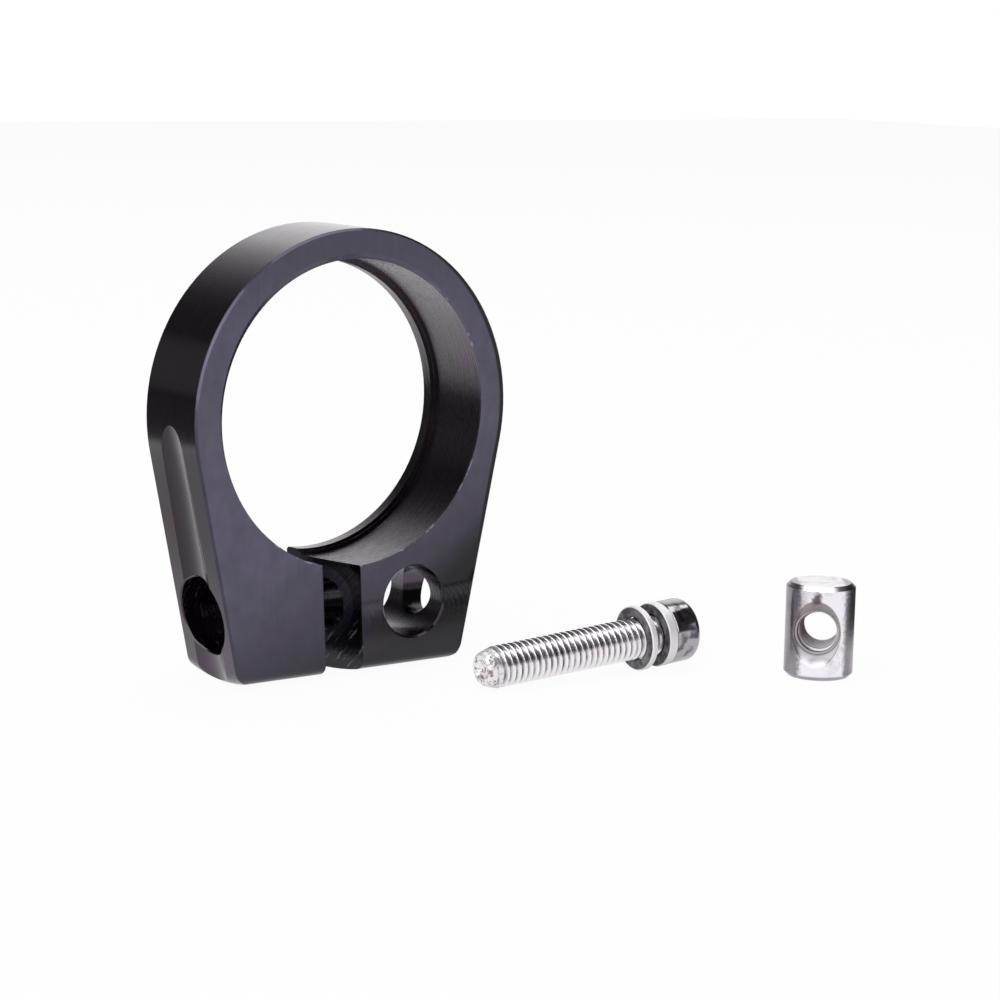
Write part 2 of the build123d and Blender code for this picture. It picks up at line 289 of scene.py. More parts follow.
def put(piece, place):
    """Move a finished piece to its place and keep that place in its mesh."""
    deselect()
    piece.select_set(True)
    bpy.context.view_layer.objects.active = piece
    piece.matrix_world = place @ piece.matrix_world
    bpy.ops.object.transform_apply(location=True, rotation=True, scale=True)
    bpy.ops.object.shade_smooth_by_angle(angle=radians(32))


def add_node(tree, kind, inputs=None, **settings):
    """Add a node: settings are its own values, inputs its sockets' values, links or nodes."""
    node = tree.nodes.new("ShaderNode" + kind)
    for name, value in settings.items():
        setattr(node, name, value)
    for socket, value in (inputs or {}).items():
        if isinstance(value, bpy.types.Node):
            value = next(output for output in value.outputs if output.enabled)
        if isinstance(value, bpy.types.NodeSocket):
            tree.links.new(value, node.inputs[socket])
        else:
            node.inputs[socket].default_value = value
    return node


def new_material(name):
    """An empty material, the function that adds its nodes, and the place on the object in mm."""
    material = bpy.data.materials.new(name)
    material.use_nodes = True
    material.node_tree.nodes.clear()
    node = partial(add_node, material.node_tree)
    place = node("TexCoord").outputs["Object"]
    return material, node, node("VectorMath", {0: place, "Scale": 1 / MM}, operation="SCALE")


def about_axis(node, in_mm, origin, axis):
    """How far a point is along an axis from its origin, and how far from the axis, in mm."""
    from_origin = node("VectorMath", {0: in_mm, 1: origin}, operation="SUBTRACT")
    along = node("VectorMath", {0: from_origin, 1: axis}, operation="DOT_PRODUCT")
    nearest = node("VectorMath", {0: axis, "Scale": along}, operation="SCALE")
    return along, node("VectorMath", {0: from_origin, 1: nearest}, operation="DISTANCE")


def finish(piece, material):
    """Give a piece its material, in its blender slot."""
    piece.data.materials.clear()
    piece.data.materials.append(material)


def black_anodised_aluminium(finishes):
    """Machined aluminium, anodised, black by dyeing, and sealed.

    The sealed layer is a clear gloss over a nearly black ground, so it mirrors most where it is
    seen edge on. It keeps the tool marks under it: the two faces are a satin lilac grey, the
    turned bore shows fine rings, the flanks are streaked and the saw tore the slot. Painted shade
    darkens the faces toward their foot and top, across the nut's ear, in the slot and in the
    screw hole, and ridges in the slot and the counterbore are painted paler as glints.
    """
    material, node, in_mm = new_material("black_anodised_aluminium")
    x, y, z = node("SeparateXYZ", {0: in_mm}).outputs

    # The cuts in mm, each a hair wide so that its walls fall inside: how far out the faces begin
    # with their broken edges, the radii of the bore, the counterbore, the screw hole and the nut
    # seat, and half of the slot. Then where their axes, the counterbore's floor and the slot are.
    # The screw hole is drilled low.
    face, bore, counterbore, drill, nut_seat, slot = 5.23, 17.65, 4.47, 2.83, 4.17, 2.57
    screw_z, drill_drop, nut_x, counterbore_floor = -22.35, 0.35, 8.4, -9.9
    slot_x, slot_lean = -4.07, (1, 0.268, 0.0524)
    soft = 0.05  # mm over which one finish gives way to the next
    radius = about_axis(node, in_mm, (0, 0, 0), (0, 1, 0))[1]
    from_screw = about_axis(node, in_mm, (0, 0, screw_z), (1, 0, 0))[1]
    from_drill = about_axis(node, in_mm, (0, 0, screw_z - drill_drop), (1, 0, 0))[1]
    from_nut = about_axis(node, in_mm, (nut_x, 0, screw_z), (0, 1, 0))[1]
    across_slot = node("VectorMath", {0: in_mm, 1: slot_lean}, operation="DOT_PRODUCT")
    across_slot = node("Math", {0: across_slot, 1: slot_x}, operation="SUBTRACT")

    # Where each kind of cut is, from 0 to 1.
    on_face = node("MapRange", {"Value": node("Math", {0: y}, operation="ABSOLUTE"),
                                "From Min": face - soft, "From Max": face})
    in_bore = node("MapRange", {"Value": radius, "From Min": bore + soft, "From Max": bore})
    below_ring = node("MapRange", {"Value": z, "From Min": -10.0, "From Max": -11.0})
    in_slot = node("Math", {0: below_ring, 1: node("MapRange", {
        "Value": node("Math", {0: across_slot}, operation="ABSOLUTE"),
        "From Min": slot + soft, "From Max": slot})}, operation="MULTIPLY")
    in_counterbore = node("Math", {
        0: node("MapRange", {"Value": from_screw, "From Min": counterbore + soft, "From Max": counterbore}),
        1: node("MapRange", {"Value": x, "From Min": counterbore_floor + 0.3,
                             "From Max": counterbore_floor})}, operation="MULTIPLY")
    in_screw_hole = node("MapRange", {"Value": from_drill, "From Min": drill + soft, "From Max": drill})
    in_nut_seat = node("MapRange", {"Value": from_nut, "From Min": nut_seat + soft, "From Max": nut_seat})

    # The open face is a paler grey where it was faced last, and darker in random clouds. Painted
    # shade darkens it toward its foot and its top, and it is darker along its broken edge on the
    # nut's side.
    to_foot = node("VectorMath", {0: in_mm, 1: (0.35, 0, -0.8)}, operation="DOT_PRODUCT")
    foot = node("MapRange", {"Value": to_foot, "From Min": 9.0, "From Max": 24.0})
    face_colour = node("Mix", {0: foot, 6: finishes.face_layer, 7: finishes.shade_and_dark_tone},
                       data_type="RGBA")
    clouds_and_top_shade = node("TexNoise", {"Vector": in_mm, "Scale": 0.35, "Detail": 5.0})
    clouds_and_top_shade = node("MapRange", {"Value": clouds_and_top_shade, "From Min": 0.35, "From Max": 0.75, "To Max": 0.3})
    # Painted shade toward the ring's top.
    top_shade = node("MapRange", {"Value": z, "From Min": 8.0, "From Max": 18.0, "To Max": 0.35})
    clouds_and_top_shade = node("Math", {0: clouds_and_top_shade, 1: top_shade}, operation="MAXIMUM")
    face_colour = node("Mix", {0: clouds_and_top_shade, 6: face_colour, 7: finishes.shade_and_dark_tone}, data_type="RGBA")
    # The edge on the nut's side is the ring's, and the flank's below the place where they meet.
    ring, meeting, flank_way = 20.85, -4.3, (0.979, 0, -0.203)
    to_flank = node("VectorMath", {0: in_mm, 1: flank_way}, operation="DOT_PRODUCT")
    on_ring = node("MapRange", {"Value": z, "From Min": meeting - 0.1, "From Max": meeting + 0.1})
    to_edge = node("Mix", {0: on_ring, 2: to_flank, 3: radius}, data_type="FLOAT")
    band = node("MapRange", {"Value": x, "From Min": 4.0, "From Max": 18.0, "To Min": -0.05,
                             "To Max": 0.7})
    dark_edge_and_shade = node("MapRange", {"Value": node("Math", {0: to_edge, 1: band}, operation="ADD"),
                             "From Min": ring - 0.15, "From Max": ring + 0.1})
    # A soft shade lies across the ear of the nut, down to a paler strip along its foot.
    across_ear = node("VectorMath", {0: in_mm, 1: (0.716, 0, -1)}, operation="DOT_PRODUCT")
    shade = node("Math", {
        0: node("MapRange", {"Value": across_ear, "From Min": 25.0, "From Max": 29.5, "To Max": 0.9}),
        1: node("MapRange", {"Value": z, "From Min": -26.6, "From Max": -25.2})}, operation="MULTIPLY")
    dark_edge_and_shade = node("Math", {0: dark_edge_and_shade, 1: shade}, operation="MAXIMUM")
    # Painted shade across the nut's ear, with the darker broken edge, takes the deepest black.
    face_colour = node("Mix", {0: dark_edge_and_shade, 6: face_colour, 7: finishes.edge_black_and_shade}, data_type="RGBA")
    layer = node("Mix", {0: on_face, 6: finishes.side_layer, 7: face_colour}, data_type="RGBA")
    # Painted shade darkens the slot's wall and the screw hole, with a paler land round the hole.
    land = node("MapRange", {"Value": from_screw, "From Min": 4.3, "From Max": 4.1, "To Max": 0.5})
    slot_shade = node("Mix", {0: land, 6: finishes.shade_and_dark_tone, 7: finishes.face_layer}, data_type="RGBA")
    layer = node("Mix", {0: in_slot, 6: layer, 7: slot_shade}, data_type="RGBA")
    layer = node("Mix", {0: in_screw_hole, 6: layer, 7: finishes.shade_and_dark_tone}, data_type="RGBA")

    # Tool marks. Each cut's noise is stretched: its sizes are the marks' length and spacing in mm,
    # drawn two or three times as coarse as the real ones so that they show.
    cuts = (
        # where, size of a mark, how it is turned about X, height of the marks
        (1.0, (3.0, 0.25, 3.0), 0, 0.003),
        (on_face, (0.5, 1.0, 2.5), 0, 0.0015),
        (in_bore, (5.0, 0.35, 5.0), 0, 0.055),
        (in_slot, (4.0, 0.45, 3.5), 45, 0.05),
        (in_counterbore, (0.35, 1.6, 1.6), 0, 0.08),
        (in_screw_hole, (0.3, 2.0, 2.0), 0, 0.04),
        (in_nut_seat, (2.0, 0.35, 2.0), 0, 0.03),
    )
    marks = rise = 0.0
    for where, size, turn, height in cuts:
        way = node("Mapping", {"Vector": in_mm, "Rotation": (radians(turn), 0, 0), "Scale": size},
                   vector_type="TEXTURE")
        noise = node("TexNoise", {"Vector": way, "Scale": 1.0, "Detail": 4.0, "Roughness": 0.65})
        marks = node("Mix", {0: where, 2: marks, 3: noise}, data_type="FLOAT")
        rise = node("Mix", {0: where, 2: rise, 3: height * MM}, data_type="FLOAT")

    # The layer is rubbed thin in specks along the mouth of the bore. The ridges low in the slot and
    # in the counterbore show ripped bare metal, painted paler as glints for the lamps to light.
    specks = node("TexNoise", {"Vector": in_mm, "Scale": 0.7, "Detail": 4.0})
    mouth = node("Math", {
        0: node("MapRange", {"Value": radius, "From Min": 17.66, "From Max": 17.60}),
        1: node("MapRange", {"Value": y, "From Min": -5.22, "From Max": -5.32})}, operation="MULTIPLY")
    worn_and_glints = node("Math", {0: mouth, 1: node("MapRange", {
        "Value": specks, "From Min": 0.56, "From Max": 0.62, "To Max": 0.8})}, operation="MULTIPLY")
    ridged = node("Math", {0: in_slot, 1: node("MapRange", {
        "Value": z, "From Min": -23.5, "From Max": -25.5})}, operation="MULTIPLY")
    ridged = node("Math", {0: in_counterbore, 1: 0.6, 2: ridged}, operation="MULTIPLY_ADD")
    torn_glints = node("Math", {0: ridged, 1: node("MapRange", {
        "Value": marks, "From Min": 0.58, "From Max": 0.66, "To Max": 0.8})}, operation="MULTIPLY")
    worn_and_glints = node("Math", {0: worn_and_glints, 1: torn_glints}, operation="MAXIMUM")
    layer = node("Mix", {0: worn_and_glints, 6: layer, 7: finishes.bare_metal_and_glints}, data_type="RGBA")

    rough = node("MapRange", {"Value": marks, "From Min": 0.3, "From Max": 0.7, "To Min": 0.2,
                              "To Max": 0.32})
    rough = node("Math", {0: on_face, 1: 0.1, 2: rough}, operation="MULTIPLY_ADD")
    bump = node("Bump", {"Height": marks, "Distance": rise})
    shader = node("BsdfPrincipled", {
        # Painted glints: the ripped ridges are less metallic, so that the lamps light them.
        "Metallic": node("MapRange", {"Value": torn_glints, "To Min": 1.0, "To Max": 0.4}),
        "Base Color": layer, "Roughness": rough, "Coat Weight": 0.6, "Coat Roughness": 0.07,
        "Normal": bump, "Coat Normal": bump,
    })
    node("OutputMaterial", {"Surface": shader})
    return material


def nickel_plated_steel(finishes):
    """Rolled steel with a bright nickel plate.

    The crests of the thread shine, an old greasy stain turns its grooves a violet brown, the scuffed tip
    is chalky with rust in its pits, and the head is a smoother, darker mirror with dull spots.
    """
    material, node, in_mm = new_material("nickel_plated_steel")
    along, radius = about_axis(node, in_mm, TIP / MM, SCREW_AXIS)
    under_head = 25.0
    on_head = node("MapRange", {"Value": along, "From Min": under_head - 0.05, "From Max": under_head})
    # spots and stains about 1.2 mm and 0.35 mm across
    stains = node("TexNoise", {"Vector": in_mm, "Scale": 0.85, "Detail": 4.0})
    grit = node("TexNoise", {"Vector": in_mm, "Scale": 2.9, "Detail": 3.0})
    groove = node("MapRange", {"Value": radius, "From Min": 2.24, "From Max": 1.98})
    stained = node("MapRange", {"Value": stains, "From Min": 0.35, "From Max": 0.65, "To Min": 0.35,
                                "To Max": 0.9})
    groove = node("Math", {0: groove, 1: stained}, operation="MULTIPLY")
    tip = node("MapRange", {"Value": along, "From Min": 2.4, "From Max": 0.9})
    groove = node("Math", {0: groove, 1: node("Math", {0: 1.0, 1: tip}, operation="SUBTRACT")},
                  operation="MULTIPLY")
    blotches = node("Math", {0: stains, 1: grit}, operation="ADD")
    rusty = node("Math", {0: tip, 1: node("MapRange", {
        "Value": blotches, "From Min": 1.0, "From Max": 1.16, "To Max": 0.8})}, operation="MULTIPLY")
    plate = node("Mix", {0: groove, 6: finishes.nickel, 7: finishes.grease_and_shade}, data_type="RGBA")
    plate = node("Mix", {0: rusty, 6: plate, 7: finishes.rust}, data_type="RGBA")
    spot = node("MapRange", {"Value": stains, "From Min": 0.50, "From Max": 0.64, "To Max": 0.75})
    head = node("Mix", {0: spot, 6: finishes.head, 7: finishes.grease_and_shade}, data_type="RGBA")
    plate = node("Mix", {0: on_head, 6: plate, 7: head}, data_type="RGBA")
    thread_rough = node("MapRange", {"Value": grit, "To Min": 0.16, "To Max": 0.34})
    rough = node("Mix", {0: on_head, 2: thread_rough, 3: 0.12}, data_type="FLOAT")
    rise = node("Mix", {0: tip, 2: 0.012 * MM, 3: 0.06 * MM}, data_type="FLOAT")
    rise = node("Mix", {0: on_head, 2: rise, 3: 0.002 * MM}, data_type="FLOAT")
    shader = node("BsdfPrincipled", {
        "Metallic": node("MapRange", {"Value": tip, "To Min": 1.0, "To Max": 0.3}),
        "Base Color": plate, "Roughness": rough,
        "Normal": node("Bump", {"Height": grit, "Distance": rise}),
    })
    node("OutputMaterial", {"Surface": shader})
    return material


def zinc_plated_steel(finishes):
    """Pressed steel with a dull zinc plate: milky white rims, and faces darkened by a grey film."""
    material, node, in_mm = new_material("zinc_plated_steel")
    radius = about_axis(node, in_mm, TIP / MM, SCREW_AXIS)[1]
    rim = node("MapRange", {"Value": radius, "From Min": 3.60, "From Max": 3.68})
    # smears about 1 mm across
    smears = node("TexNoise", {"Vector": in_mm, "Scale": 1.0, "Detail": 5.0})
    film = node("MapRange", {"Value": smears, "From Min": 0.35, "From Max": 0.6})
    face = node("Mix", {0: film, 6: finishes.film, 7: finishes.grease_and_shade}, data_type="RGBA")
    shader = node("BsdfPrincipled", {
        "Metallic": 0.3,
        "Base Color": node("Mix", {0: rim, 6: face, 7: finishes.zinc}, data_type="RGBA"),
        "Roughness": node("MapRange", {"Value": smears, "To Min": 0.35, "To Max": 0.6}),
        "Normal": node("Bump", {"Height": smears, "Distance": 0.02 * MM}),
    })
    node("OutputMaterial", {"Surface": shader})
    return material


def turned_steel(finishes, centre, turn):
    """Bare turned steel: a bright satin with fine rings, stained brown inside the tapped hole, and painted
    shade down both sides.
    """
    material, node, in_mm = new_material("turned_steel")
    middle = Vector(centre) / MM
    hole_way = Vector((cos(turn), sin(turn), 0))
    into, from_hole = about_axis(node, in_mm, middle, hole_way)
    barrel = about_axis(node, in_mm, middle, (0, 0, 1))[1]
    from_middle = node("VectorMath", {0: in_mm, 1: middle}, operation="SUBTRACT")
    z = node("SeparateXYZ", {0: from_middle}).outputs["Z"]
    inside = node("Math", {
        0: node("MapRange", {"Value": barrel, "From Min": 3.97, "From Max": 3.90}),
        1: node("MapRange", {"Value": node("Math", {0: z}, operation="ABSOLUTE"),
                             "From Min": 4.8, "From Max": 4.7})}, operation="MULTIPLY")
    in_thread = node("MapRange", {"Value": from_hole, "From Min": 2.75, "From Max": 2.55})
    turns = node("Math", {0: into, 1: 0.4}, operation="PINGPONG")
    groove = node("MapRange", {"Value": turns, "From Min": 0.14, "From Max": 0.3, "To Min": 0.15})
    # grain about 0.4 mm across, blurred stains about 2 mm
    grain = node("TexNoise", {"Vector": in_mm, "Scale": 2.5, "Detail": 5.0})
    stains = node("TexNoise", {"Vector": in_mm, "Scale": 0.5, "Detail": 4.0})
    dull = node("MapRange", {"Value": stains, "From Min": 0.5, "From Max": 0.8, "To Max": 0.6})
    skin = node("Mix", {0: dull, 6: finishes.nut_steel, 7: finishes.film}, data_type="RGBA")
    # Painted shade darkens both sides of the barrel across the camera's view, the lower edge is
    # darker, and the top is a little greyer.
    sideways = node("VectorMath", {0: from_middle, 1: (0.8, -0.6, 0)}, operation="DOT_PRODUCT")
    sideways = node("Math", {0: sideways}, operation="ABSOLUTE")
    sideways = node("Math", {0: grain, 1: 0.8, 2: sideways}, operation="MULTIPLY_ADD")
    rubbed = node("MapRange", {"Value": sideways, "From Min": 2.7, "From Max": 3.2, "To Max": 0.72})
    lower_edge = node("MapRange", {"Value": z, "From Min": -4.9, "From Max": -5.1, "To Max": 0.6})
    rubbed = node("Math", {0: rubbed, 1: lower_edge}, operation="MAXIMUM")
    top = node("MapRange", {"Value": z, "From Min": 5.35, "From Max": 5.45, "To Max": 0.14})
    rubbed = node("Math", {0: rubbed, 1: top}, operation="MAXIMUM")
    skin = node("Mix", {0: rubbed, 6: skin, 7: finishes.grease_and_shade}, data_type="RGBA")
    # a scuff above the mouth of the hole, where the barrel was held
    scuff_middle = middle + hole_way * 4.0 + Vector((0, 0, 3.9))
    scuff = node("Mapping", {"Vector": in_mm, "Location": scuff_middle, "Scale": (0.7, 0.7, 1.3)},
                 vector_type="TEXTURE")
    scuff = node("VectorMath", {0: scuff}, operation="LENGTH")
    scuff = node("Math", {0: scuff, 1: grain}, operation="ADD")
    scuff = node("MapRange", {"Value": scuff, "From Min": 1.5, "From Max": 1.0, "To Max": 0.9})
    skin = node("Mix", {0: scuff, 6: skin, 7: finishes.grease_and_shade}, data_type="RGBA")
    hole = node("Mix", {0: groove, 6: finishes.nut_steel, 7: finishes.rust}, data_type="RGBA")
    stained = node("MapRange", {"Value": z, "From Min": -0.5, "From Max": 2.5, "To Max": 0.6})
    sink = node("Mix", {0: stained, 6: skin, 7: finishes.rust}, data_type="RGBA")
    hole = node("Mix", {0: in_thread, 6: sink, 7: hole}, data_type="RGBA")
    # turning rings about 0.3 mm apart
    rings = node("TexNoise", {"W": z, "Scale": 3.3, "Detail": 4.0}, noise_dimensions="1D")
    height = node("Math", {0: rings, 1: grain}, operation="ADD")
    shader = node("BsdfPrincipled", {
        "Metallic": node("MapRange", {"Value": inside, "To Min": 1.0, "To Max": 0.25}),
        "Base Color": node("Mix", {0: inside, 6: skin, 7: hole}, data_type="RGBA"),
        "Roughness": node("MapRange", {"Value": grain, "To Min": 0.12, "To Max": 0.32}),
        "Normal": node("Bump", {"Height": height, "Distance": 0.01 * MM}),
    })
    node("OutputMaterial", {"Surface": shader})
    return material


class CLAMP_OT_dress_collar(bpy.types.Operator):
    """Give the collar its black anodised finish"""
    bl_idname = "clamp.dress_collar"
    bl_label = "Dress collar"

    def execute(self, context):
        collar = frame["nodes"]["collar"]
        collar.data.materials.clear()
        collar.data.materials.append(black_anodised_aluminium(context.scene.clamp_finishes))
        return {"FINISHED"}


class CLAMP_OT_make_screw(bpy.types.Operator):
    """Model the cap screw with its rolled thread and hexagon socket"""
    bl_idname = "clamp.make_screw"
    bl_label = "Make screw"

    def execute(self, context):
        sizes = context.scene.clamp_screw
        crest = sizes.thread_diameter / 2
        head = sizes.head_diameter / 2
        top = sizes.shank + sizes.head_height
        screw = thread_solid(
            "cap_screw", crest, sizes.thread_depth, sizes.pitch, 0.0, sizes.shank - sizes.run_out
        )
        past = 2 * crest
        tip_end = sizes.tip_diameter / 2
        shoulder = tip_end + 0.35 * (crest - tip_end)
        envelope = turn_outline("tip_envelope", [
            (0, sizes.tip_cup_depth), (0.6 * sizes.tip_cup, 0.8 * sizes.tip_cup_depth), (sizes.tip_cup, 0),
            (tip_end, 0), (shoulder, 0.15 * sizes.tip_taper), (crest, sizes.tip_taper),
            (crest + past, sizes.tip_taper + 4 * past), (crest + past, top + 4 * past), (0, top + 4 * past),
        ])
        combine(screw, envelope, "INTERSECT")
        # The neck is a little fuller than the root of the thread, so that the two never coincide.
        neck = crest - 0.93 * sizes.thread_depth
        body = turn_outline("head", [
            (0, sizes.shank - 2 * sizes.run_out), (neck, sizes.shank - 2 * sizes.run_out),
            (neck, sizes.shank), (head - 0.15 * MM, sizes.shank), (head, sizes.shank + 0.15 * MM),
            *arc((head - sizes.head_round, top - sizes.head_round), sizes.head_round, 0, 90),
            (0, top),
        ])
        deselect()
        bpy.ops.mesh.primitive_cylinder_add(
            vertices=6, radius=sizes.socket_width / 2 / cos(pi / 6), depth=2 * sizes.socket_depth,
            location=(0, 0, top), end_fill_type="TRIFAN",
        )
        socket = bpy.context.object
        floor = min(socket.data.vertices, key=lambda v: (round(v.co.z, 6), v.co.xy.length))
        floor.co.z -= sizes.socket_width / 4
        combine(body, socket, "DIFFERENCE")
        combine(screw, body, "UNION")
        put(screw, LYING)
        finish(screw, nickel_plated_steel(context.scene.clamp_finishes))
        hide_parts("screw")
        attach(screw, "clamp")
        return {"FINISHED"}


def washer_outline(inner, outer, low, high, edge):
    """Section of a washer with broken edges, as (radius, height), closed."""
    return [
        (inner, low + edge), (inner + edge, low), (outer - edge, low), (outer, low + edge),
        (outer, high - edge), (outer - edge, high), (inner + edge, high), (inner, high - edge),
        (inner, low + edge),
    ]


def span_along_screw(node):
    """Where a node begins and ends along the screw, from its tip, and its outer radius."""
    places = [corner.co - TIP for corner in frame["nodes"][node].data.vertices]
    along = [place.dot(SCREW_AXIS) for place in places]
    outer = max((place - SCREW_AXIS * place.dot(SCREW_AXIS)).length for place in places)
    return min(along), max(along), outer


class CLAMP_OT_make_washers(bpy.types.Operator):
    """Model the flat washer and the split lock washer"""
    bl_idname = "clamp.make_washers"
    bl_label = "Make washers"

    def execute(self, context):
        sizes = context.scene.clamp_washers
        inner = context.scene.clamp_screw.thread_diameter / 2 + sizes.bore_clearance
        material = zinc_plated_steel(context.scene.clamp_finishes)
        for node in ("flat_washer", "lock_washer"):
            low, high, outer = span_along_screw(node)
            outline = washer_outline(inner, outer, low, high, sizes.edge_break)
            washer = turn_outline(node + "_ring", outline)
            if node == "lock_washer":
                self.cut_slit(washer, sizes, outer, (low + high) / 2)
            put(washer, LYING)
            finish(washer, material)
            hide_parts(node)
            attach(washer, node)
        return {"FINISHED"}

    def cut_slit(self, washer, sizes, outer, middle):
        """Saw through the ring on one side, skewed as the wire was cut."""
        deselect()
        bpy.ops.mesh.primitive_cube_add(size=1, location=(0, 0, 0))
        saw = bpy.context.object
        saw.scale = (outer, sizes.slit, 2 * outer)
        bpy.ops.object.transform_apply(location=False, rotation=False, scale=True)
        side = SCREW_AXIS.cross(Vector((0, 0, 1))).normalized()
        up = side.cross(SCREW_AXIS)
        local = LYING.to_3x3().inverted()
        toward = local @ (cos(sizes.slit_place) * side + sin(sizes.slit_place) * up)
        turn = Matrix.Rotation(atan2(toward.y, toward.x), 4, "Z")
        skew = Matrix.Rotation(sizes.slit_skew, 4, "X")
        across = Matrix.Translation((outer, 0, 0))
        saw.matrix_world = Matrix.Translation((0, 0, middle)) @ turn @ across @ skew
        combine(washer, saw, "DIFFERENCE")


class CLAMP_OT_make_nut(bpy.types.Operator):
    """Model the barrel nut with its countersunk, tapped cross hole"""
    bl_idname = "clamp.make_nut"
    bl_label = "Make barrel nut"

    def execute(self, context):
        sizes = context.scene.clamp_nut
        radius = sizes.diameter / 2
        half = sizes.height / 2
        edge = sizes.end_chamfer
        nut = turn_outline("barrel", [
            (0, -half), (radius - edge, -half), (radius, edge - half), (radius, half - edge),
            (radius - edge, half), (0, half),
        ])
        low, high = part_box("barrel_nut")
        core = sizes.core / 2
        tap = thread_solid(
            "tap", core + sizes.thread_depth, sizes.thread_depth, context.scene.clamp_screw.pitch,
            -radius - MM, radius + MM,
        )
        mouth = sizes.countersink / 2
        lead = sizes.lead / 2
        shoulder = radius - (mouth - lead)
        sink = turn_outline("sink", [
            (0, shoulder - sizes.lead_depth), (0.9 * core, shoulder - sizes.lead_depth), (lead, shoulder),
            (mouth + MM, radius + MM), (0, radius + MM),
        ])
        combine(tap, sink, "UNION")
        rear = turn_outline("rear_sink", [
            (0, sizes.rear_sink - radius + core), (core + sizes.rear_sink + MM, -radius - MM),
            (0, -radius - MM),
        ])
        combine(tap, rear, "UNION")
        put(tap, Matrix.Rotation(pi / 2, 4, "Y"))
        combine(nut, tap, "DIFFERENCE")
        stand = Matrix.Translation((low + high) / 2) @ Matrix.Rotation(sizes.hole_turn, 4, "Z")
        put(nut, stand)
        steel = turned_steel(context.scene.clamp_finishes, (low + high) / 2, sizes.hole_turn)
        finish(nut, steel)
        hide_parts("barrel_nut")
        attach(nut, "clamp")
        return {"FINISHED"}


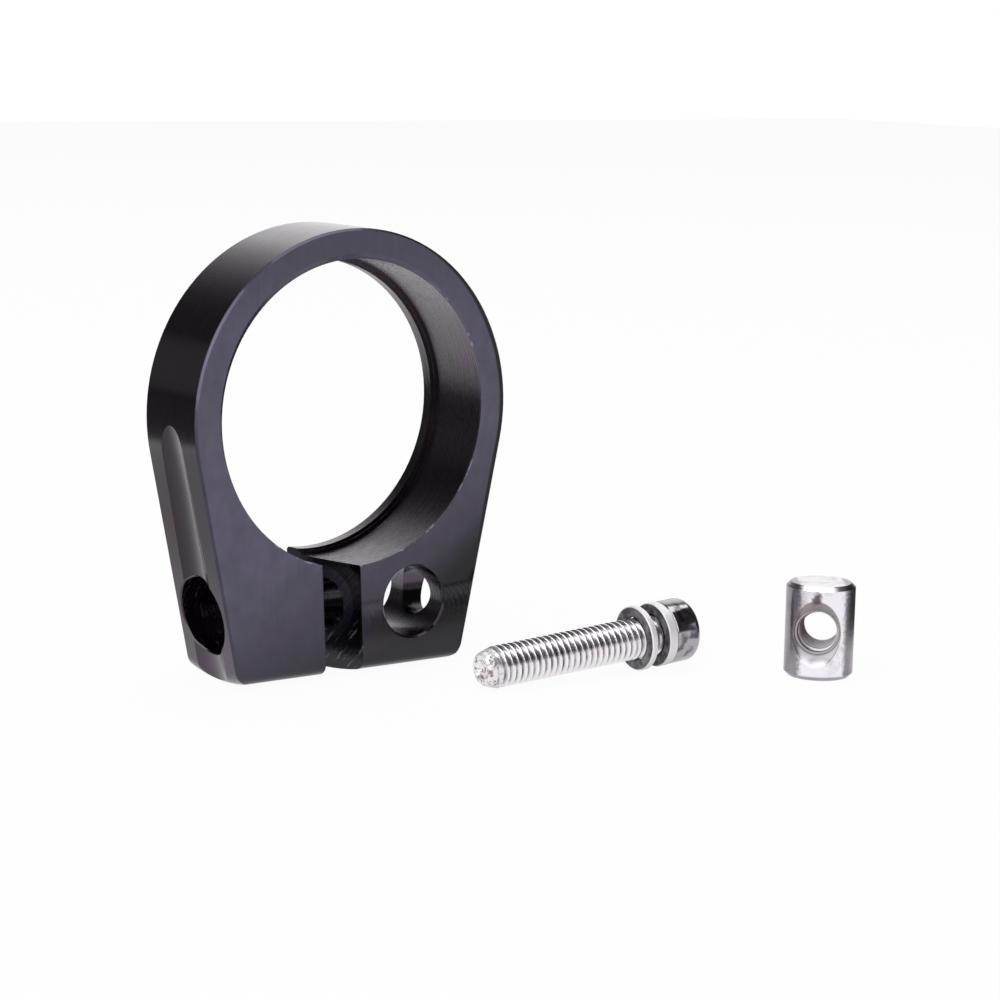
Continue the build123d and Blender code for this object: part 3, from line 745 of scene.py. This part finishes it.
class CLAMP_OT_set_stage(bpy.types.Operator):
    """Set the floor, the lamps, the world and the camera"""
    bl_idname = "clamp.set_stage"
    bl_label = "Set stage"

    def execute(self, context):
        studio = context.scene.clamp_studio
        self.lay_floor(studio)
        self.hang_lamps()
        self.light_world(context.scene, studio)
        self.stand_camera(context.scene, studio)
        context.scene.view_settings.view_transform = "Standard"
        return {"FINISHED"}

    def lay_floor(self, studio):
        """A wide sheet of white paper under the foot of the collar."""
        deselect()
        bpy.ops.mesh.primitive_plane_add(size=studio.floor_size, location=(0, 0, FLOOR_Z))
        floor = bpy.context.object
        floor.name = "floor"
        bpy.ops.object.transform_apply(location=True, rotation=False, scale=False)
        material, node, in_mm = new_material("white_paper")
        path = node("LightPath").outputs
        seen = node("Math", {0: path["Is Camera Ray"], 1: path["Is Glossy Ray"]}, operation="MAXIMUM")
        seen = node("Math", {0: seen, 1: path["Is Transmission Ray"]}, operation="MAXIMUM")
        # For metal the paper's glow is painted down: dark past its left and right edges, so that the
        # paper is a painted pool of light, and dimmer close to the collar's left as a painted shadow of
        # the collar. Each dark place has its strength and two fades that meet there, given as a
        # bearing in degrees, a start and an end in mm.
        painted_shade_places = (
            (0.92, (-35, 90, 125), (-35, 90, 125)),
            (0.92, (90, 60, 80), (0, -75, -50)),
            (0.50, (-90, 12, 40), (0, 95, 60)),
        )
        painted_pool = 1.0
        for dark, *fades in painted_shade_places:
            for bearing, start, end in fades:
                away = (sin(radians(bearing)), cos(radians(bearing)), 0)
                reach = node("VectorMath", {0: in_mm, 1: away}, operation="DOT_PRODUCT")
                fade = node("MapRange", {"Value": reach, "From Min": start, "From Max": end},
                            interpolation_type="SMOOTHSTEP")
                dark = node("Math", {0: dark, 1: fade}, operation="MULTIPLY")
            left = node("Math", {0: 1.0, 1: dark}, operation="SUBTRACT")
            painted_pool = node("Math", {0: painted_pool, 1: left}, operation="MULTIPLY")
        painted_pool = node("Mix", {0: path["Is Camera Ray"], 2: painted_pool, 3: 1.0}, data_type="FLOAT")
        sheet = node("Mix", {0: seen, 6: WHITE, 7: painted_pool}, data_type="RGBA")
        sheet = node("Mix", {0: 1.0, 6: studio.paper, 7: sheet}, data_type="RGBA", blend_type="MULTIPLY")
        # The camera sees mostly the glow, and a metal a little more of the paper with its shadow.
        glow_for_metal, more_for_camera = 0.75, 0.2
        share = node("Math", {0: path["Is Camera Ray"], 1: more_for_camera, 2: glow_for_metal},
                     operation="MULTIPLY_ADD")
        share = node("Math", {0: share, 1: seen}, operation="MULTIPLY")
        paper = node("BsdfDiffuse", {"Color": sheet})
        glow = node("Emission", {"Color": WHITE, "Strength": painted_pool})
        node("OutputMaterial", {"Surface": node("MixShader", {0: share, 1: paper, 2: glow})})
        floor.data.materials.append(material)

    def hang_lamps(self):
        """Two soft lamps, one from the left and one from above."""
        # name, place in metres, width and height in metres, power in watts; each faces the clamp
        lamps = (
            ("softbox_left", (-0.81, -0.30, 0.50), 1.2, 1.0, 7.0),
            ("softbox_top", (0.10, 0.14, 1.1), 1.3, 1.3, 10.5),
        )
        for name, place, width, height, power in lamps:
            deselect()
            bpy.ops.object.light_add(type="AREA", location=place)
            lamp = bpy.context.object
            lamp.name = name
            lamp.data.shape = "RECTANGLE"
            lamp.data.size = width
            lamp.data.size_y = height
            lamp.data.energy = power
            lamp.rotation_euler = (Vector((0, 0, 0)) - Vector(place)).to_track_quat("-Z", "Y").to_euler()

    def light_world(self, scene, studio):
        """White panels behind the pieces and low in front of them, in a dim room."""
        world = bpy.data.worlds.new("panels_in_dim_room")
        scene.world = world
        world.use_nodes = True
        world.node_tree.nodes.clear()
        node = partial(add_node, world.node_tree)
        bearing = studio.camera_bearing
        looking = node("TexCoord").outputs["Generated"]
        ways = {
            "ahead": (sin(bearing), cos(bearing), 0), "right": (cos(bearing), -sin(bearing), 0),
            "up": (0, 0, 1),
        }
        # Each panel's strength and edges, as sines of the angles from the photograph's own line of
        # sight: where the light is gone, where it is full, and the power of the fade between.
        panels = (
            (1.0, ("ahead", -0.1, 0.25, 1), ("right", -0.74, -0.24, 2), ("right", 0.5, 0.2, 1),
             ("up", 0.75, 0.55, 1)),
            (1.0, ("ahead", 0.05, -0.1, 1), ("up", 0.15, 0.04, 1)),
            (0.12, ("ahead", 0.2, 0.3, 1), ("right", -0.82, -0.86, 1), ("up", 0.34, 0.31, 1),
             ("up", 0.01, 0.05, 1)),
        )
        room = 0.05
        for panel, *edges in panels:
            for way, dark, full, power in edges:
                along = node("VectorMath", {0: looking, 1: ways[way]}, operation="DOT_PRODUCT")
                fade = node("MapRange", {"Value": along, "From Min": dark, "From Max": full})
                fade = node("Math", {0: fade, 1: power}, operation="POWER")
                panel = node("Math", {0: panel, 1: fade}, operation="MULTIPLY")
            room = node("Math", {0: room, 1: panel}, operation="ADD")
        # the camera sees plain white behind everything
        seen = node("LightPath").outputs["Is Camera Ray"]
        strength = node("Mix", {0: seen, 2: room, 3: 1.0}, data_type="FLOAT")
        light = node("Background", {"Color": WHITE, "Strength": strength})
        node("OutputWorld", {"Surface": light})

    def stand_camera(self, scene, studio):
        """The camera, where the photograph was taken from."""
        deselect()
        bpy.ops.object.camera_add()
        camera = bpy.context.object
        turn = (
            Matrix.Rotation(-studio.camera_bearing, 4, "Z")
            @ Matrix.Rotation(pi / 2 - studio.camera_dip, 4, "X")
            @ Matrix.Rotation(studio.camera_roll, 4, "Z")
        )
        camera.matrix_world = Matrix.Translation(studio.camera_place) @ turn
        camera.data.lens = studio.lens
        camera.data.sensor_width = 36.0
        camera.data.clip_start = 10 * MM
        scene.camera = camera


class CLAMP_PT_sidebar(bpy.types.Panel):
    """Lists the sizes and the steps"""
    bl_label = "Seatpost clamp"
    bl_idname = "CLAMP_PT_sidebar"
    bl_space_type = "VIEW_3D"
    bl_region_type = "UI"
    bl_category = "Clamp"

    def draw(self, context):
        for operator in OPERATORS:
            self.layout.operator(operator.bl_idname)
        for name, group in GROUPS.items():
            box = self.layout.box()
            box.label(text=group.__name__)
            for size in group.__annotations__:
                box.prop(getattr(context.scene, name), size)


GROUPS = {
    "clamp_screw": ScrewSizes, "clamp_washers": WasherSizes, "clamp_nut": NutSizes,
    "clamp_finishes": Finishes, "clamp_studio": StudioSizes,
}
OPERATORS = (
    CLAMP_OT_dress_collar, CLAMP_OT_make_screw, CLAMP_OT_make_washers, CLAMP_OT_make_nut,
    CLAMP_OT_set_stage,
)


def register():
    for group in (*GROUPS.values(), *OPERATORS, CLAMP_PT_sidebar):
        bpy.utils.register_class(group)
    for name, group in GROUPS.items():
        setattr(bpy.types.Scene, name, bpy.props.PointerProperty(type=group))


def unregister():
    for name in GROUPS:
        delattr(bpy.types.Scene, name)
    for group in (CLAMP_PT_sidebar, *OPERATORS, *GROUPS.values()):
        bpy.utils.unregister_class(group)


def main():
    register()
    bpy.ops.clamp.dress_collar()
    bpy.ops.clamp.make_screw()
    bpy.ops.clamp.make_washers()
    bpy.ops.clamp.make_nut()
    bpy.ops.clamp.set_stage()


if __name__ == "__main__":
    main()
